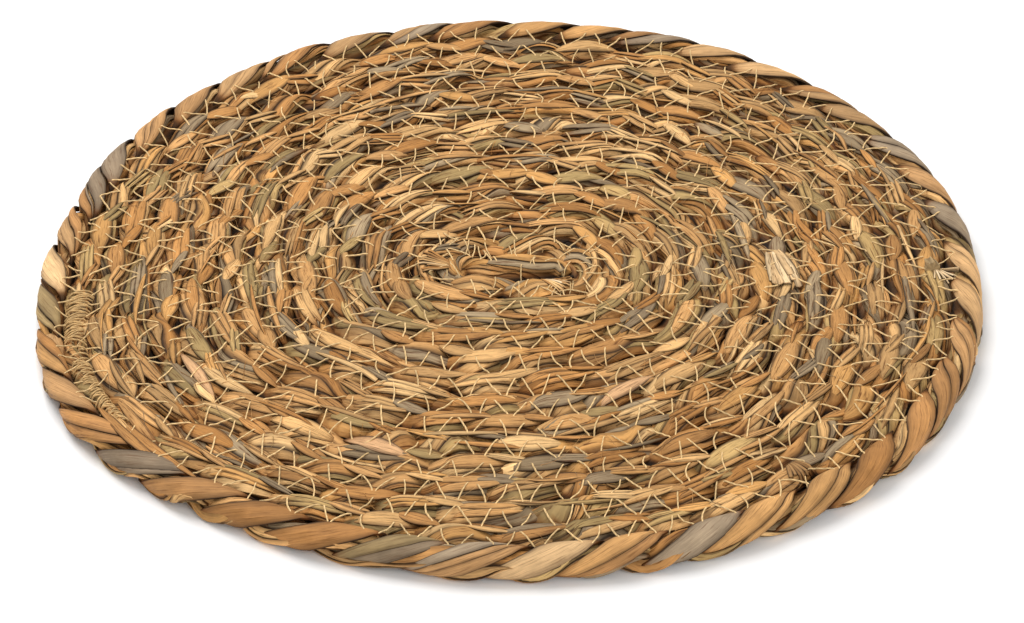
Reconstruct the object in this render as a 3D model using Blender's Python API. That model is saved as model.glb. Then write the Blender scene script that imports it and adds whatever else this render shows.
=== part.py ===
"""Round chair seat pad: a three-strand grass plait sewn up as a flat spiral, with a plaited rim.

Metres, +Z up, the pad resting on z = 0 with its centre on the Z axis. Plan positions are given by
an angle round the pad and a row number, which counts rows of plait out from the middle.
"""
import bpy
from math import atan2, cos, hypot, pi, sin, tanh

# Overall sizes, in metres.
SEAT_DIAMETER = 0.380
RIM_HEIGHT = 0.0100
COIL_HEIGHT = 0.0094
COIL_LIFT = 0.0003  # the coil's underside sits this far above the rim's
RIM_WIDTH = 0.0135
START_HALF_LENGTH = 0.018  # half the straight length the coil starts from
CLEARANCE = 0.0003  # between neighbouring pieces

# The plait.
STRAND_COUNT = 3
COIL_REPEATS = 78  # full cycles of the plait along the coil
RIM_REPEATS = 12  # and round the rim
ROWS_TO_RIM = 13.5  # rows between the middle and the rim, at angle zero
START_TURN = 0.02
TAIL_ANGLE = 215.0  # where the coil's outer end stops, in degrees
TAIL_SHIFT_FROM, TAIL_SHIFT_TO = 180.0, 240.0  # the rows step out by one over this arc
COIL_LENGTHS = 11  # spliced lengths in each coil strand
SPLICE_GAP = 0.0004
STATIONS = 6  # where a strand's path turns, in one repeat
FINE_TURNS = 4.5  # the coil is stepped more finely up to here
BRAID_CYCLE = ((1, 1), (1, -1), (0, 0), (-1, 1), (-1, -1), (0, 0))  # (side, height), six per repeat

# The sewing thread and the whipping.
THREAD_WIDTH = 0.0008
THREAD_HEIGHT = 0.0007
SEAM_STITCHES = 640  # along the coil's spiral seam
RIM_STITCHES = 104
STITCH_REACH = 0.34  # of a row, each side of the seam
THREAD_LENGTHS = 6
WHIP_FROM, WHIP_TO = 188.0, 212.0
WHIP_WALL = 0.0005
WHIP_RIBS = 24

# The rim's joint.
RIM_JOINT_ANGLE = 197.0
LEAF_THICKNESS = 0.0006

STRAW = (0.62, 0.43, 0.22)
PALE_STRAW = (0.72, 0.56, 0.32)
OLIVE = (0.42, 0.37, 0.24)
GREY_STRAW = (0.45, 0.40, 0.32)
THREAD_CREAM = (0.80, 0.68, 0.46)


def smooth_step(low, high, x):
    u = min(max((x - low) / (high - low), 0.0), 1.0)
    return u * u * (3 - 2 * u)


def bump(centre, half_width, x):
    """A smooth hump of height one, centred on an angle, zero beyond its half width."""
    away = abs((x - centre + 180.0) % 360.0 - 180.0)
    return 1.0 - smooth_step(0.0, half_width, away)


def rim_outer_radius(angle):
    uneven = 0.0022 * bump(207.0, 22.0, angle) - 0.0030 * bump(168.0, 14.0, angle)
    return SEAT_DIAMETER / 2 + uneven * SEAT_DIAMETER / 0.380


def rim_inner_radius(angle):
    """The rim is drawn in narrower where the coil's tail lies against it."""
    width = RIM_WIDTH - 0.0025 * bump(200.0, 24.0, angle)
    return rim_outer_radius(angle) - width


def rows_at(angle):
    """How many rows fit between the middle and the rim at this angle."""
    turn = (angle % 360.0) / 360.0
    return ROWS_TO_RIM + turn - smooth_step(TAIL_SHIFT_FROM, TAIL_SHIFT_TO, angle % 360.0)


def plan_point(angle, row):
    """The plan position of a row number at an angle in degrees."""
    theta = angle * pi / 180
    share = row / rows_at(angle)
    radius = share * rim_inner_radius(angle)
    stretch = START_HALF_LENGTH * (1 - share) * tanh(2.5 * cos(theta)) / tanh(2.5)
    return radius * cos(theta) + stretch, radius * sin(theta)


def rim_point(angle, across):
    """The plan position on the rim; across runs from -1/2 at its inner edge to 1/2 outside."""
    theta = angle * pi / 180
    inner = rim_inner_radius(angle) + CLEARANCE
    radius = inner + (across + 0.5) * (rim_outer_radius(angle) - inner)
    return radius * cos(theta), radius * sin(theta)


def row_edges(turn):
    """The inner and outer edge, as row numbers, of the coil after this many turns."""
    inner = max(turn - 0.5, -turn)
    outer = min(turn + 0.5, rows_at(turn * 360.0))
    return inner, outer


def tail_turn():
    """The coil's whole length in turns."""
    return int(ROWS_TO_RIM) + TAIL_ANGLE / 360.0


def last_turn_start():
    """The angle, counted on from the start of the coil, at which its last turn begins."""
    return int(ROWS_TO_RIM) * 360.0


def evenly_spaced(point_at, first, last, count):
    """Values that split a plan curve into this many equal lengths."""
    fine = 12000
    values = [first + (last - first) * i / fine for i in range(fine + 1)]
    points = [point_at(value) for value in values]
    length, lengths = 0.0, [0.0]
    for here, there in zip(points, points[1:]):
        length += hypot(there[0] - here[0], there[1] - here[1])
        lengths.append(length)
    picked, low = [], 0
    for i in range(count + 1):
        wanted = length * i / count
        while low < fine - 1 and lengths[low + 1] < wanted:
            low += 1
        share = (wanted - lengths[low]) / (lengths[low + 1] - lengths[low])
        picked.append(values[low] + (values[low + 1] - values[low]) * share)
    return picked


def coil_stations():
    """Turn numbers evenly spaced along the coil, from its start to its tail."""
    middle = lambda turn: plan_point(turn * 360.0, sum(row_edges(turn)) / 2)
    return evenly_spaced(middle, START_TURN, tail_turn(), COIL_REPEATS * STATIONS)


def station_length(turns):
    """The distance between two stations far from the middle."""
    here, there = (plan_point(turn * 360.0, turn) for turn in turns[-2:])
    return hypot(there[0] - here[0], there[1] - here[1])


def between(values, position):
    """A list read at a fractional index."""
    low = min(int(position), len(values) - 2)
    return values[low] + (values[low + 1] - values[low]) * (position - low)


def braid_place(cycle):
    """Where in the plait's cross-section a strand is: side and height, each from -1 to 1."""
    low = int(cycle)
    here, there = BRAID_CYCLE[low % STATIONS], BRAID_CYCLE[(low + 1) % STATIONS]
    return tuple(a + (b - a) * (cycle - low) for a, b in zip(here, there))


def is_crossing(station):
    """Whether a strand passes over or under another just after this station."""
    return int(station) % STATIONS in (2, 5)


def fans_out(cycle):
    """How far a strand spreads, 0 to 1: it is widest halfway through passing over another."""
    if not is_crossing(cycle):
        return 0.0
    return 1.0 - abs(2 * (cycle - int(cycle)) - 1)


def strap_section(place, edges, gap, height, middle_z, cycle, fan):
    """Four corners of one strand's flat section, packed three to a plait."""
    side, rise = braid_place(cycle)
    width = edges[1] - edges[0] - gap
    offset = (width + gap) / 3
    half = (width - 2 * gap) / 6 + fan * offset / 2
    thick = (height - 2 * CLEARANCE) / 3
    across = (edges[0] + edges[1]) / 2 + side * offset
    z = middle_z + rise * (thick + CLEARANCE)
    inner, outer = place(across - half), place(across + half)
    low, high = z - thick / 2, z + thick / 2
    return [(*inner, low), (*outer, low), (*outer, high), (*inner, high)]


def chord_section(section_at, position, fan):
    """A section partway between two stations on a straight line, as the strands beside it run."""
    low, high = section_at(int(position), 0.0), section_at(int(position) + 1, 0.0)
    wide, narrow = section_at(position, fan), section_at(position, 0.0)
    share = position - int(position)
    return [tuple(a + (b - a) * share + c - d for a, b, c, d in zip(*corners))
            for corners in zip(low, high, wide, narrow)]


def coil_section(turns, position, strand, fan):
    turn = between(turns, position)
    angle = turn * 360.0
    inner, outer = row_edges(turn)
    row_size = rim_inner_radius(angle) / rows_at(angle)
    sleeve = smooth_step(WHIP_FROM - 22, WHIP_FROM - 6, angle - last_turn_start())
    room = sleeve * (WHIP_WALL + 1.5 * CLEARANCE)
    margin = (1.2 * CLEARANCE + room) / row_size
    edges = inner + margin, outer - margin
    middle_z = COIL_LIFT + COIL_HEIGHT / 2
    return strap_section(lambda row: plan_point(angle, row), edges, CLEARANCE / row_size,
                         COIL_HEIGHT - 2 * room, middle_z, position + 2 * strand, fan)


def coil_section_shaped(turns, position, strand):
    """The inner turns follow the curve at every step; the rest run straight between stations."""
    fan = fans_out(position + 2 * strand)
    if position == int(position) or between(turns, position) < FINE_TURNS:
        return coil_section(turns, position, strand, fan)
    return chord_section(lambda p, f: coil_section(turns, p, strand, f), position, fan)


def substeps(turn, cycle):
    """The tight inner turns need shorter steps, and so does a strand where it fans out."""
    if turn < FINE_TURNS:
        return 6 if turn < 1 else 4 if turn < 2 else 2
    return 2 if is_crossing(cycle) else 1


def section_positions(turns, first, last, strand):
    """Every position along a length where its section is laid down."""
    marks = [first]
    for index in range(int(first), int(last) + 1):
        count = substeps(turns[min(index, len(turns) - 1)], index + 2 * strand)
        marks += [index + part / count for part in range(count)]
    return [m for m in sorted(set(marks)) if first + 0.05 < m < last - 0.05 or m == first] + [last]


def make_piece(name, sections, colour, collection, closed=False):
    """A solid swept through matching sections, capped at both ends unless it closes on itself."""
    corners = len(sections[0])
    points = [p for section in sections for p in section]
    count = len(sections)
    faces = []
    for ring in range(count if closed else count - 1):
        a, b = ring * corners, (ring + 1) % count * corners
        for c in range(corners):
            d = (c + 1) % corners
            faces.append((a + c, b + c, b + d, a + d))
    if not closed:
        faces.append(tuple(range(corners)))
        faces.append(tuple((count - 1) * corners + c for c in reversed(range(corners))))
    return make_object(name, points, faces, colour, collection)


def make_object(name, points, faces, colour, collection):
    mesh = bpy.data.meshes.new(name)
    mesh.from_pydata(points, [], faces)
    signed = 0.0
    for face in faces:
        a = points[face[0]]
        for i in range(1, len(face) - 1):
            b, c = points[face[i]], points[face[i + 1]]
            signed += (a[0] * (b[1] * c[2] - b[2] * c[1]) + a[1] * (b[2] * c[0] - b[0] * c[2])
                       + a[2] * (b[0] * c[1] - b[1] * c[0]))
    if signed < 0:
        mesh.flip_normals()
    mesh.materials.append(make_material(name, colour))
    mesh.update()
    item = bpy.data.objects.new(name, mesh)
    collection.objects.link(item)
    return item


def make_material(name, colour):
    material = bpy.data.materials.new(name)
    material.use_nodes = True
    shader = material.node_tree.nodes["Principled BSDF"]
    shader.inputs["Base Color"].default_value = (*colour, 1.0)
    shader.inputs["Roughness"].default_value = 0.8
    material.diffuse_color = (*colour, 1.0)
    return material


def make_coil(collection):
    """The spiral plait: three strands, each of several spliced lengths butted end to end."""
    turns = coil_stations()
    end = len(turns) - 1
    shades = (STRAW, PALE_STRAW, STRAW, OLIVE, STRAW, GREY_STRAW, PALE_STRAW)
    half_gap = SPLICE_GAP / 2 / station_length(turns)
    for strand in range(STRAND_COUNT):
        cuts = [end * (i + strand / STRAND_COUNT) / COIL_LENGTHS for i in range(1, COIL_LENGTHS)]
        cuts = [int(cut) + 0.5 for cut in cuts]
        starts = [0.0] + [cut + half_gap for cut in cuts]
        ends = [cut - half_gap for cut in cuts] + [float(end)]
        for number, (first, last) in enumerate(zip(starts, ends), 1):
            marks = section_positions(turns, first, last, strand)
            sections = [coil_section_shaped(turns, mark, strand) for mark in marks]
            shade = shades[(2 * number + 3 * strand) % len(shades)]
            make_piece(f"coil_strand_{'abc'[strand]}_{number:02d}", sections, shade, collection)


def rim_section(position, stations, strand, fan, dwell=0.0):
    angle = RIM_JOINT_ANGLE + 360.0 * (position + dwell) / stations
    row_size = rim_outer_radius(angle) - rim_inner_radius(angle) - CLEARANCE
    margin = 0.3 * CLEARANCE / row_size
    edges = -0.5 + margin, 0.5 - margin
    return strap_section(lambda across: rim_point(angle, across), edges, CLEARANCE / row_size,
                         RIM_HEIGHT, RIM_HEIGHT / 2, position + 2 * strand, fan)


def rim_section_shaped(position, stations, strand, dwell):
    if position == int(position):
        return rim_section(position, stations, strand, 0.0, dwell)
    section_at = lambda p, f: rim_section(p, stations, strand, f)
    return chord_section(section_at, position, fans_out(position + 2 * strand))


def make_rim(collection):
    """The plait round the edge: three strands of two lengths, meeting at the rim's joint."""
    stations = STATIONS * RIM_REPEATS
    half_gap = SPLICE_GAP / 2 / (pi * (SEAT_DIAMETER - RIM_WIDTH) / stations)
    for strand in range(STRAND_COUNT):
        middle = stations // 2 + 5 * strand - 4.5
        spans = ((half_gap, middle - half_gap), (middle + half_gap, stations - half_gap))
        for number, (first, last) in enumerate(spans, 1):
            whole = range(int(first) + 1, int(last) + 1)
            stretch = range(int(first), int(last))
            fanned = [m + 0.5 for m in stretch if is_crossing(m + 2 * strand)]
            inside = [m for m in (*whole, *fanned) if first + 0.05 < m < last - 0.05]
            sections = []
            for mark in (first, *sorted(inside), last):
                place = BRAID_CYCLE[int(mark + 2 * strand) % STATIONS]
                resting = mark == int(mark) and place == (1, -1)
                for dwell in ((-0.12, 0.12) if resting else (0.0,)):
                    sections.append(rim_section_shaped(mark, stations, strand, dwell))
            shade = (STRAW, PALE_STRAW, OLIVE, STRAW, GREY_STRAW, STRAW)[2 * strand + number - 1]
            make_piece(f"rim_strand_{'abc'[strand]}_{number}", sections, shade, collection)


def make_thread(name, corners, z, collection):
    """A thread lying flat on the plaits in a zigzag, three-sided, mitred at each turn."""
    sections = []
    for i, (x, y) in enumerate(corners):
        before, after = corners[max(i - 1, 0)], corners[min(i + 1, len(corners) - 1)]
        first = atan2(y - before[1], x - before[0]) if i else None
        second = atan2(after[1] - y, after[0] - x) if i < len(corners) - 1 else None
        first = second if first is None else first
        second = first if second is None else second
        turn = (second - first + pi) % (2 * pi) - pi
        facing = first + turn / 2 + pi / 2
        reach = THREAD_WIDTH / 2 / max(cos(turn / 2), 0.3)
        dx, dy = reach * cos(facing), reach * sin(facing)
        sections.append([(x - dx, y - dy, z), (x + dx, y + dy, z), (x, y, z + THREAD_HEIGHT)])
    make_piece(name, sections, THREAD_CREAM, collection)


def seam_corners(first, last, row_of, count):
    """Zigzag corners along a seam, given the row the seam follows at each angle."""
    angles = evenly_spaced(lambda angle: plan_point(angle, row_of(angle)), first, last, count)
    reaches = [STITCH_REACH if i % 2 == 0 else -STITCH_REACH for i in range(count + 1)]
    return [plan_point(angle, row_of(angle) + reach) for angle, reach in zip(angles, reaches)]


def start_corners():
    """Zigzag corners along the straight seam in the middle, where the coil first turns back."""
    row_size = rim_inner_radius(0.0) / ROWS_TO_RIM
    legs = 5
    corners = []
    for i in range(legs + 1):
        x = START_HALF_LENGTH * 0.75 * (2 * i / legs - 1)
        side = 1 if i % 2 else -1
        corners.append((x, row_size * (-0.25 + side * 0.9 * STITCH_REACH)))
    return corners


def make_threads(collection):
    """The sewing thread: along the spiral seam in several lengths, and round inside the rim."""
    coil_z = COIL_LIFT + COIL_HEIGHT + CLEARANCE
    make_thread("start_thread", start_corners(), coil_z, collection)
    last = (tail_turn() - 1) * 360.0 - 22.0
    spiral = seam_corners(40.0, last, lambda angle: angle / 360 + 0.5, SEAM_STITCHES)
    each = len(spiral) // THREAD_LENGTHS + 1
    for number in range(THREAD_LENGTHS):
        part = spiral[number * each:(number + 1) * each]
        make_thread(f"seam_thread_{number + 1}", part, coil_z, collection)
    rim_z = max(RIM_HEIGHT, COIL_LIFT + COIL_HEIGHT) + CLEARANCE
    ring = seam_corners(TAIL_ANGLE + 4, TAIL_ANGLE + 360.0, rows_at, RIM_STITCHES)
    make_thread("rim_thread", ring, rim_z, collection)


def make_whipping(collection):
    """The thread bound round the coil's tail, as one ribbed sleeve."""
    points, faces = [], []
    for rib in range(WHIP_RIBS + 1):
        angle = last_turn_start() + WHIP_FROM + (WHIP_TO - WHIP_FROM) * rib / WHIP_RIBS
        inner, outer = row_edges(angle / 360.0)
        row_size = rim_inner_radius(angle) / rows_at(angle)
        proud = 0.0 if rib % 2 else 0.7 * CLEARANCE
        for inset in (0.9 * CLEARANCE - proud, 0.9 * CLEARANCE + WHIP_WALL):
            low = COIL_LIFT + inset
            high = COIL_LIFT + COIL_HEIGHT - inset
            near = plan_point(angle, inner + inset / row_size)
            far = plan_point(angle, outer - inset / row_size)
            points += [(*near, low), (*far, low), (*far, high), (*near, high)]
    for rib in range(WHIP_RIBS):
        a, b = 8 * rib, 8 * rib + 8
        for c in range(4):
            d = (c + 1) % 4
            faces.append((a + c, b + c, b + d, a + d))
            faces.append((a + 4 + d, b + 4 + d, b + 4 + c, a + 4 + c))
    last = 8 * WHIP_RIBS
    for c in range(4):
        d = (c + 1) % 4
        faces.append((c, d, 4 + d, 4 + c))
        faces.append((last + d, last + c, last + 4 + c, last + 4 + d))
    make_object("tail_whipping", points, faces, THREAD_CREAM, collection)


def make_joint_leaf(collection):
    """The cut leaf folded over the outside of the rim where its two ends meet."""
    sections = []
    for step, length in ((-4, 0.25), (-2.6, 0.8), (-1.2, 1.0), (0.2, 0.95), (1.6, 0.75), (3, 0.3)):
        angle = RIM_JOINT_ANGLE + step
        theta = angle * pi / 180
        outer = rim_outer_radius(angle) + CLEARANCE
        top = RIM_HEIGHT + CLEARANCE
        inner = outer - 0.004 * length
        foot = RIM_HEIGHT * (1 - 0.8 * length)
        profile = ((inner, top), (outer, top), (outer, foot), (outer + LEAF_THICKNESS, foot),
                   (outer + LEAF_THICKNESS, top + LEAF_THICKNESS), (inner, top + LEAF_THICKNESS))
        sections.append([(r * cos(theta), r * sin(theta), z) for r, z in profile])
    make_piece("rim_joint_leaf", sections, PALE_STRAW, collection)


def centre_on_origin(items):
    """Shift everything so the pad's outline is centred on the Z axis."""
    points = [v.co for item in items for v in item.data.vertices]
    shift_x = -(min(p.x for p in points) + max(p.x for p in points)) / 2
    shift_y = -(min(p.y for p in points) + max(p.y for p in points)) / 2
    for item in items:
        for vertex in item.data.vertices:
            vertex.co.x += shift_x
            vertex.co.y += shift_y


def main():
    for old in list(bpy.data.objects):
        bpy.data.objects.remove(old, do_unlink=True)
    collection = bpy.data.collections.new("seat_pad")
    bpy.context.scene.collection.children.link(collection)
    make_coil(collection)
    make_rim(collection)
    make_threads(collection)
    make_whipping(collection)
    make_joint_leaf(collection)
    centre_on_origin(list(collection.objects))


main()
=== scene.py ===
"""A round seat pad: a three-strand plait of dried grass wound as a flat spiral, sewn row to row
with pale thread, inside a plaited rim. Everything is in metres, in the CAD model's frame."""
import math

import bpy
import numpy as np
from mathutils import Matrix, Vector
from mathutils.bvhtree import BVHTree


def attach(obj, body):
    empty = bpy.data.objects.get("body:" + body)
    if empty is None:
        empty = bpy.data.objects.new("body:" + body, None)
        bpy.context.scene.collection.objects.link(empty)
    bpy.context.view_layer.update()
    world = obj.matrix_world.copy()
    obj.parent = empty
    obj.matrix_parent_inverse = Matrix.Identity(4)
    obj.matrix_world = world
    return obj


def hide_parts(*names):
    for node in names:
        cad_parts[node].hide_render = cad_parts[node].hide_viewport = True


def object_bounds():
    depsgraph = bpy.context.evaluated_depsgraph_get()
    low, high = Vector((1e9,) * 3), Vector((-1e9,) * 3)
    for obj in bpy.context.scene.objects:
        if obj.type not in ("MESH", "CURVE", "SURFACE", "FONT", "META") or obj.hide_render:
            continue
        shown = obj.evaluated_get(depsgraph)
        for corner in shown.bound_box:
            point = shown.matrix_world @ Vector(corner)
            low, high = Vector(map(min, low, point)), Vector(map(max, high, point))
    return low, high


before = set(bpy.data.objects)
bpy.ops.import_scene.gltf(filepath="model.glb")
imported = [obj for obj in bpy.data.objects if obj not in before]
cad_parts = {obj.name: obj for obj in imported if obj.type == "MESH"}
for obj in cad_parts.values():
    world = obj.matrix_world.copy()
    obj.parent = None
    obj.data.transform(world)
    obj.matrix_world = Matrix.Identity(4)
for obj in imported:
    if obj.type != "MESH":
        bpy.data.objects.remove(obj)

cad_low, cad_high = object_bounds()

# The pad's measures, as the CAD model has them.
RADIUS = (cad_high[0] - cad_low[0]) / 2 - 0.0012  # before the bulges and flats below
RIM_WIDTH = 0.0135
START_HALF_LENGTH = 0.018
ROWS_TO_RIM = 13.5
TAIL_ANGLE = 215.0
TAIL_SHIFT_FROM, TAIL_SHIFT_TO = 180.0, 240.0
TAIL_TURN = 13 + TAIL_ANGLE / 360
RIM_JOINT_ANGLE = 197.0

# The plait.
PLAIT_REPEAT = 0.082
COIL_THICKNESS = 0.0100
RIM_THICKNESS = 0.0110
LIFT = 0.0004
RIM_LIFT = 0.0003
STATION = 0.0022  # between sections along a strand
LEAF_COLUMNS = (0.02, 0.34, 0.68, 0.98)  # where across a leaf its points lie
LEAF_RELIEF = (-0.115, -0.010, 0.012, 0.045)  # each leaf's far edge lies over the next
LEAF_WIDTH = 0.0035  # across one leaf of a strand, for the grain of its material
COIL_LEAN, RIM_LEAN = 0.62, 1.1  # how far the big lobes reach past the middle of the plait
SWING_SHARE = 0.315  # of the plait's width, how far a strand swings to each side
SWING_SHARPNESS = 0.93  # nearer 1, a strand runs straighter across and turns more quickly
TAIL_THINS_FROM, TAIL_THINS_TO = 13.44, 13.56  # turns, where the coil's tail gets thinner

THREAD_RADIUS = 0.00031
STITCH_PITCH = 0.0074
CENTRE_LEGS = 46

COIL_LEAF_SHARE = 0.82  # of the plait's lobes that have a broad leaf over them
RIM_LEAF_WIDTH = 0.0108
RIM_LEAF_FROM, RIM_LEAF_TO = -48, 148  # degrees round the rim, 0 outside and 90 on top
LOOSE_LEAVES = 120
# rows in from the rim, degrees from the tail's end, length and width in metres
TAIL_LEAVES = ((0.10, -6, 0.052, 0.0050), (0.45, -7, 0.050, 0.0046), (0.28, -4, 0.060, 0.0052),
               (0.62, -5, 0.040, 0.0040))
STRAY_FIBRES = 420

# The outline's bulges and flats: metres outwards, the angle, and half the arc, in degrees.
BULGES = ((0.0062, 210, 28), (-0.0030, 168, 16), (-0.0024, 138, 40), (-0.0032, 263, 60),
          (0.0026, 329, 32), (-0.0026, 90, 42))

random = np.random.default_rng(619)


# ---------------------------------------------------------------- the pad's plan

def smooth_step(low, high, x):
    u = np.clip((np.asarray(x, float) - low) / (high - low), 0, 1)
    return u * u * (3 - 2 * u)


def hump(centre, half_width, angle):
    away = np.abs((np.asarray(angle, float) - centre + 180) % 360 - 180)
    return 1 - smooth_step(0, half_width, away)


def rim_outer(angle):
    """The pad is a little out of round: flatter in front and behind left, fuller between."""
    radius = RADIUS
    for outwards, centre, half_width in BULGES:
        radius = radius + outwards * hump(centre, half_width, angle)
    return radius


def rim_inner(angle):
    return rim_outer(angle) - RIM_WIDTH + 0.0032 * hump(198, 22, angle)


def rows_at(angle):
    turned = np.asarray(angle, float) % 360
    return ROWS_TO_RIM + turned / 360 - smooth_step(TAIL_SHIFT_FROM, TAIL_SHIFT_TO, turned)


class Wander:
    """A smooth random wave of about unit height, from a few sines."""

    def __init__(self, wavelength, terms=4):
        self.rate = 2 * math.pi / wavelength * random.uniform(0.5, 1.6, terms)
        self.phase = random.uniform(0, 2 * math.pi, terms)

    def __call__(self, x):
        x = np.asarray(x, float)[..., None]
        return np.sin(x * self.rate + self.phase).sum(-1) / math.sqrt(len(self.rate) / 1.4)


class PlanWander:
    """The same over the plan, for slight unevenness that neighbouring rows share."""

    def __init__(self, wavelength, terms=6):
        turn = random.uniform(0, 2 * math.pi, terms)
        rate = 2 * math.pi / wavelength * random.uniform(0.6, 1.5, terms)
        self.waves = rate[:, None] * np.stack([np.cos(turn), np.sin(turn)], 1)
        self.phase = random.uniform(0, 2 * math.pi, terms)

    def __call__(self, xy):
        return np.sin(xy @ self.waves.T + self.phase).sum(-1) / math.sqrt(len(self.phase) / 1.4)


drift_x, drift_y, drift_z = PlanWander(0.075), PlanWander(0.075), PlanWander(0.11)


def uneven(xy):
    """Plan points moved a little, as handwork is."""
    inside = 1 - smooth_step(0.80, 1.0, np.hypot(xy[..., 0], xy[..., 1]) / RADIUS)
    shift = np.stack([drift_x(xy), drift_y(xy)], -1)
    return xy + 0.0011 * shift * (0.25 + 0.75 * inside[..., None])


def plan_point(angle, row):
    theta = np.radians(angle)
    share = row / rows_at(angle)
    radius = share * rim_inner(angle)
    stretch = START_HALF_LENGTH * (1 - share) * np.tanh(2.5 * np.cos(theta)) / math.tanh(2.5)
    return uneven(np.stack([radius * np.cos(theta) + stretch, radius * np.sin(theta)], -1))


def plan_spot(angle, row):
    return plan_point(np.array([angle]), row)[0]


def rim_point(angle, across):
    """across runs from -1/2 at the rim's inner edge to 1/2 outside."""
    theta = np.radians(angle)
    inner = rim_inner(angle)
    radius = inner + (across + 0.5) * (rim_outer(angle) - inner)
    return uneven(np.stack([radius * np.cos(theta), radius * np.sin(theta)], -1))


def row_edges(turn):
    return np.maximum(turn - 0.5, -turn), np.minimum(turn + 0.5, rows_at(turn * 360))


def distances(line):
    """How far along a plan line each of its points is."""
    return np.concatenate([[0], np.cumsum(np.hypot(*np.diff(line, axis=0).T))])


def direction(turn):
    return np.array([math.cos(turn), math.sin(turn)])


def squared(turn, power):
    """Cosine and sine of an angle, moved from a circle towards a square as the power falls."""
    ca, sa = np.cos(turn), np.sin(turn)
    return np.sign(ca) * np.abs(ca) ** power, np.sign(sa) * np.abs(sa) ** power


def cad_nodes(start):
    return [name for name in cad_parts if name.startswith(start)]


# ---------------------------------------------------------------- meshes

class Builder:
    """Collects tubes in one mesh, with a colour, two masks of painted shade (one at leaf edges, one
    low down among the rows) and a UV for each.
    """

    def __init__(self):
        self.points, self.tints, self.creases, self.painted_shades = [], [], [], []
        self.faces, self.uvs, self.count = [], [], 0

    def tube(self, rings, tint, along, around, crease=0.0, painted_shade=0.0):
        """rings is (stations, points, 3); tint is (stations, points, 3) or one colour."""
        stations, sides = rings.shape[:2]
        tint = np.broadcast_to(tint, (stations, sides, 3))
        facing = np.cross(np.roll(rings[:-1], -1, 1) - rings[:-1], rings[1:] - rings[:-1])
        outward = rings[:-1] - rings[:-1].mean(1, keepdims=True)
        way = 1 if (facing * outward).sum() > 0 else -1
        self.points.append(rings.reshape(-1, 3))
        self.tints.append(tint.reshape(-1, 3))
        self.creases.append(np.broadcast_to(crease, (stations, sides)).reshape(-1))
        self.painted_shades.append(np.broadcast_to(painted_shade, (stations, sides)).reshape(-1))
        i = np.arange(stations - 1)[:, None]
        j = np.arange(sides)[None, :]
        k = (j + 1) % sides
        quads = np.stack([i * sides + j, i * sides + k, (i + 1) * sides + k,
                          (i + 1) * sides + j], -1).reshape(-1, 4) + self.count
        u = np.broadcast_to(along[:, None], (stations, sides + 1))
        v = np.broadcast_to(around, (stations, sides + 1))
        grid = np.stack([u, v], -1)
        uv = np.stack([grid[:-1, :-1], grid[:-1, 1:], grid[1:, 1:], grid[1:, :-1]], 2)
        self.faces.append(quads[:, ::way])
        self.uvs.append(uv[:, :, ::way].reshape(-1, 2))
        self.close_end(rings, tint, along, 0, -way)
        self.close_end(rings, tint, along, stations - 1, way)
        self.count += stations * sides + 2

    def close_end(self, rings, tint, along, end, way):
        """Triangles from a tube's first or last ring to a point in its middle."""
        stations, sides = rings.shape[:2]
        self.points.append(rings[end].mean(0)[None])
        self.tints.append(tint[end, :1])
        # a little painted shade at the hub of a tube's end
        self.creases.append(np.array([0.2]))
        self.painted_shades.append(np.array([0.0]))
        hub = self.count + stations * sides + (0 if end == 0 else 1)
        a = self.count + end * sides + np.arange(sides)
        b = self.count + end * sides + (np.arange(sides) + 1) % sides
        first, second = (b, a) if way < 0 else (a, b)
        self.faces.append(np.stack([first, second, np.full(sides, hub)], -1))
        cap = np.zeros((sides, 3, 2))
        cap[..., 0] = along[end]
        self.uvs.append(cap.reshape(-1, 2))

    def build(self, name, material, slot, *nodes):
        mesh = bpy.data.meshes.new(name)
        points = np.concatenate(self.points)
        sizes = np.concatenate([np.full(len(f), f.shape[1]) for f in self.faces])
        loops = np.concatenate([f.reshape(-1) for f in self.faces])
        starts = np.concatenate([[0], np.cumsum(sizes)[:-1]])
        mesh.vertices.add(len(points))
        mesh.vertices.foreach_set("co", points.astype(np.float32).ravel())
        mesh.loops.add(len(loops))
        mesh.loops.foreach_set("vertex_index", loops.astype(np.int32))
        mesh.polygons.add(len(sizes))
        mesh.polygons.foreach_set("loop_start", starts.astype(np.int32))
        mesh.polygons.foreach_set("use_smooth", np.ones(len(sizes), bool))
        layer = mesh.uv_layers.new(name="Strand")
        layer.uv.foreach_set("vector", np.concatenate(self.uvs).astype(np.float32).ravel())
        tint = mesh.attributes.new("tint", "FLOAT_COLOR", "POINT")
        colours = np.concatenate([np.concatenate(self.tints), np.ones((len(points), 1))], 1)
        tint.data.foreach_set("color", colours.astype(np.float32).ravel())
        for label, values in (("crease", self.creases), ("painted_shade", self.painted_shades)):
            layer = mesh.attributes.new(label, "FLOAT", "POINT")
            layer.data.foreach_set("value", np.concatenate(values).astype(np.float32))
        mesh.update(calc_edges=True)
        mesh.validate()
        mesh.set_sharp_from_angle(angle=math.radians(34))
        mesh.materials.append(material)
        piece = bpy.data.objects.new(name, mesh)
        bpy.context.scene.collection.objects.link(piece)
        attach(piece, "root")
        if nodes:
            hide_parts(*nodes)
        return piece


def unit(v):
    return v / np.maximum(np.linalg.norm(v, axis=-1, keepdims=True), 1e-12)


def round_tube(path, radius, sides=6):
    """Rings of a round tube along a path, square to it, without twist."""
    tangent = unit(np.gradient(path, axis=0))
    side = np.cross(tangent, [0.0, 0.0, 1.0])
    weak = np.linalg.norm(side, axis=1) < 0.2
    side[weak] = np.cross(tangent[weak], [0.3, 1.0, 0.0])
    side = unit(side)
    for i in range(1, len(side)):
        if side[i] @ side[i - 1] < 0:
            side[i] = -side[i]
    up = np.cross(side, tangent)
    a = 2 * math.pi * np.arange(sides) / sides
    radius = np.broadcast_to(radius, len(path))[:, None, None]
    return path[:, None] + radius * (np.cos(a)[None, :, None] * side[:, None]
                                     + np.sin(a)[None, :, None] * up[:, None])


# ---------------------------------------------------------------- colours

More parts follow.
